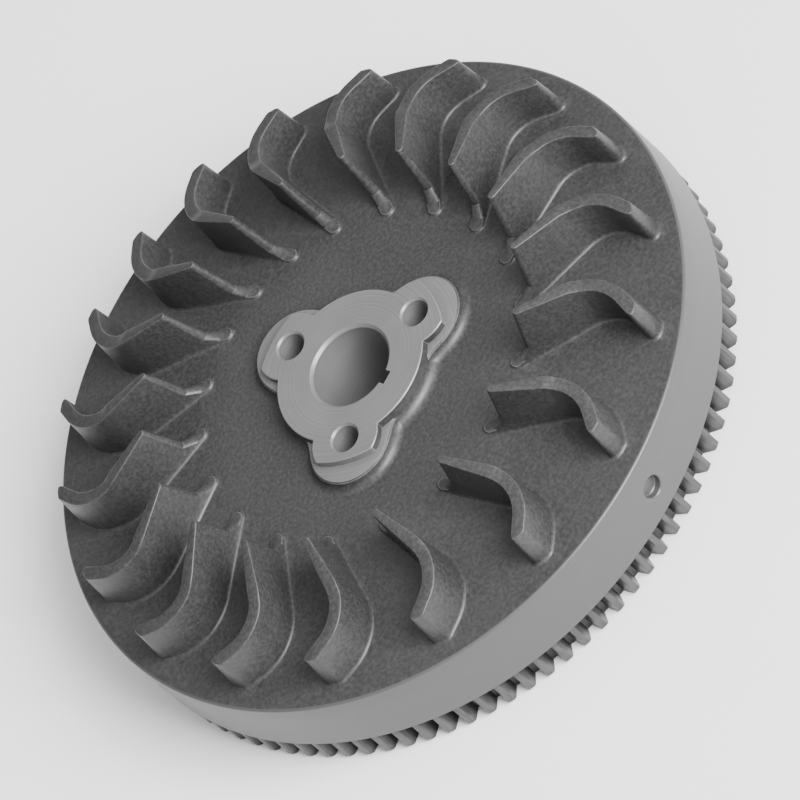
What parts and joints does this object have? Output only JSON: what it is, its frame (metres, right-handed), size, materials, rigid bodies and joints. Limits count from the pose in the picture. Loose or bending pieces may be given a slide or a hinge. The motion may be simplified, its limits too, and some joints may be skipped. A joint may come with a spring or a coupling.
{
  "type": "fan flywheel",
  "caption": "Cast fan flywheel with curved cooling vanes, shrunk-on starter ring gear, keyed and bolted hub, and an alternator magnet ring in its hollow back.",
  "frame": {"origin": "crank axis, in the plane of the rim's back face", "axes": "+Z along the crank axis, out of the fan side; -Y towards the keyway and the timing hole"},
  "size_m": [0.248, 0.248, 0.0649],
  "materials": {
    "cast_iron": "as cast, with machined faces",
    "gear_steel": "hobbed and hardened",
    "ring_steel": "pressed, zinc plated",
    "cage_plastic": "moulded",
    "keeper_steel": "pressed",
    "screw_steel": "black oxide",
    "ferrite": "sintered and ground"
  },
  "bodies": {
    "root": {"flywheel_casting": "cast_iron", "ring_gear": "gear_steel", "magnet_ring": "ring_steel", "magnet_cage": "cage_plastic", "magnet_keeper": "keeper_steel", "ring_screws": "screw_steel", "magnet_01": "ferrite", "magnet_02": "ferrite", "magnet_03": "ferrite", "magnet_04": "ferrite", "magnet_05": "ferrite", "magnet_06": "ferrite", "magnet_07": "ferrite", "magnet_08": "ferrite", "magnet_09": "ferrite", "magnet_10": "ferrite", "magnet_11": "ferrite", "magnet_12": "ferrite", "magnet_13": "ferrite", "magnet_14": "ferrite", "magnet_15": "ferrite", "magnet_16": "ferrite"}
  },
  "joints": []
}
